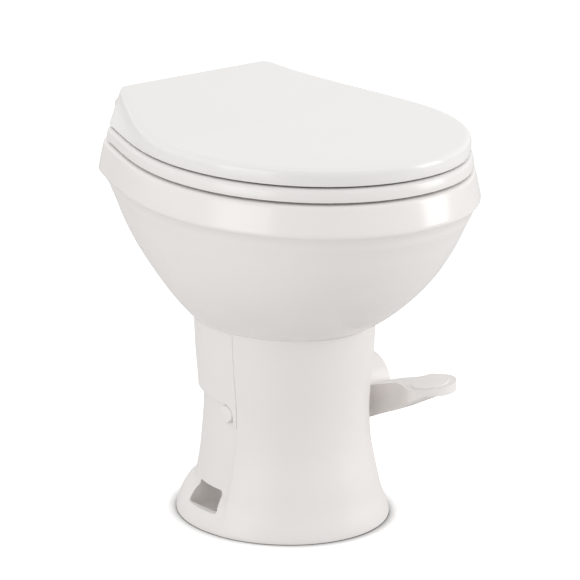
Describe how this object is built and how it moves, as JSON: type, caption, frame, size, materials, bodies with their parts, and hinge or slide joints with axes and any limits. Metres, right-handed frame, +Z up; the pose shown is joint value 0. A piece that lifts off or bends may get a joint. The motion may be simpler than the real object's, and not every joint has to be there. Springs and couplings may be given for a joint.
{
  "type": "rv toilet",
  "caption": "Gravity-flush toilet for a camper: china bowl with seat and lid on a waisted moulded pedestal, with a foot pedal that turns a half-ball flush valve.",
  "frame": {"origin": "the drain outlet's axis at floor level", "axes": "+Z up, the front of the bowl faces -Y, the foot pedal is on the +X side"},
  "size_m": [0.3844, 0.4775, 0.5004],
  "materials": {
    "lid_plastic": "gloss",
    "seat_plastic": "gloss",
    "china": "gloss",
    "shell_plastic": "satin",
    "pedal_plastic": "satin",
    "cap_plastic": "satin",
    "hinge_plastic": "satin",
    "valve_plastic": "satin",
    "ball_plastic": "satin",
    "bush_plastic": "satin",
    "water_plastic": "satin",
    "seal_rubber": "matte",
    "bumper_rubber": "matte",
    "hose_rubber": "satin",
    "steel": "satin",
    "spring_steel": "satin"
  },
  "bodies": {
    "toilet": {"hinge_pins": "steel", "hinge_posts": "hinge_plastic", "hinge_washers": "bush_plastic", "hinge_wing_nuts": "bush_plastic", "bowl": "china", "bowl_bolts": "steel", "base": "shell_plastic", "rear_shroud": "shell_plastic", "shroud_screws": "steel", "screw_caps": "cap_plastic", "drain_seal": "seal_rubber", "valve_body": "valve_plastic", "valve_screws": "steel", "valve_top_plate": "valve_plastic", "ball_seal": "seal_rubber", "neck_gasket": "seal_rubber", "clamp_halves": "steel", "clamp_bolts": "steel", "clamp_nuts": "steel", "shaft_bushes": "bush_plastic", "spring_cartridge": "valve_plastic", "return_spring": "spring_steel", "water_valve": "water_plastic", "water_valve_spring": "spring_steel", "supply_hose": "hose_rubber", "hose_clamps": "steel", "breaker_body": "water_plastic", "breaker_cap": "water_plastic", "rinse_nozzle": "bush_plastic", "nozzle_grommet": "seal_rubber"},
    "lid": {"lid": "lid_plastic", "lid_bumpers": "bumper_rubber"},
    "seat": {"seat": "seat_plastic", "seat_bumpers": "bumper_rubber"},
    "pedal": {"pedal": "pedal_plastic", "pedal_screw": "steel", "hub_cap": "cap_plastic", "drive_shaft": "ball_plastic", "stub_shaft": "ball_plastic", "shaft_ring": "seal_rubber", "flush_ball": "ball_plastic", "cam": "bush_plastic"},
    "water_plunger": {"water_plunger": "bush_plastic"},
    "breaker_poppet": {"breaker_poppet": "bush_plastic"}
  },
  "joints": [
    {"name": "seat_hinge", "type": "hinge", "parent": "toilet", "child": "seat", "pos_m": [0, 0.17, 0.474], "axis": [-1, 0, 0], "range_deg": [0, 98]},
    {"name": "lid_hinge", "type": "hinge", "parent": "seat", "child": "lid", "pos_m": [0, 0.17, 0.474], "axis": [1, 0, 0], "range_deg": [-90, 0]},
    {"name": "flush_pedal", "type": "hinge", "parent": "toilet", "child": "pedal", "pos_m": [0, 0, 0.127], "axis": [1, 0, 0], "range_deg": [0, 56], "stiffness_Nm_per_rad": 1.5, "springref_deg": -22.92, "deforming": ["return_spring"]},
    {"name": "water_valve_slide", "type": "slide", "parent": "toilet", "child": "water_plunger", "axis": [0, 1, 0], "range_m": [0, 0.0052], "deforming": ["water_valve_spring"]},
    {"name": "breaker_poppet_slide", "type": "slide", "parent": "toilet", "child": "breaker_poppet", "axis": [0, 0, 1], "range_m": [0, 0.004]}
  ],
  "couplings": [
    {"joint": "water_valve_slide", "follows": "flush_pedal", "m_per_rad": 0.005116}
  ]
}
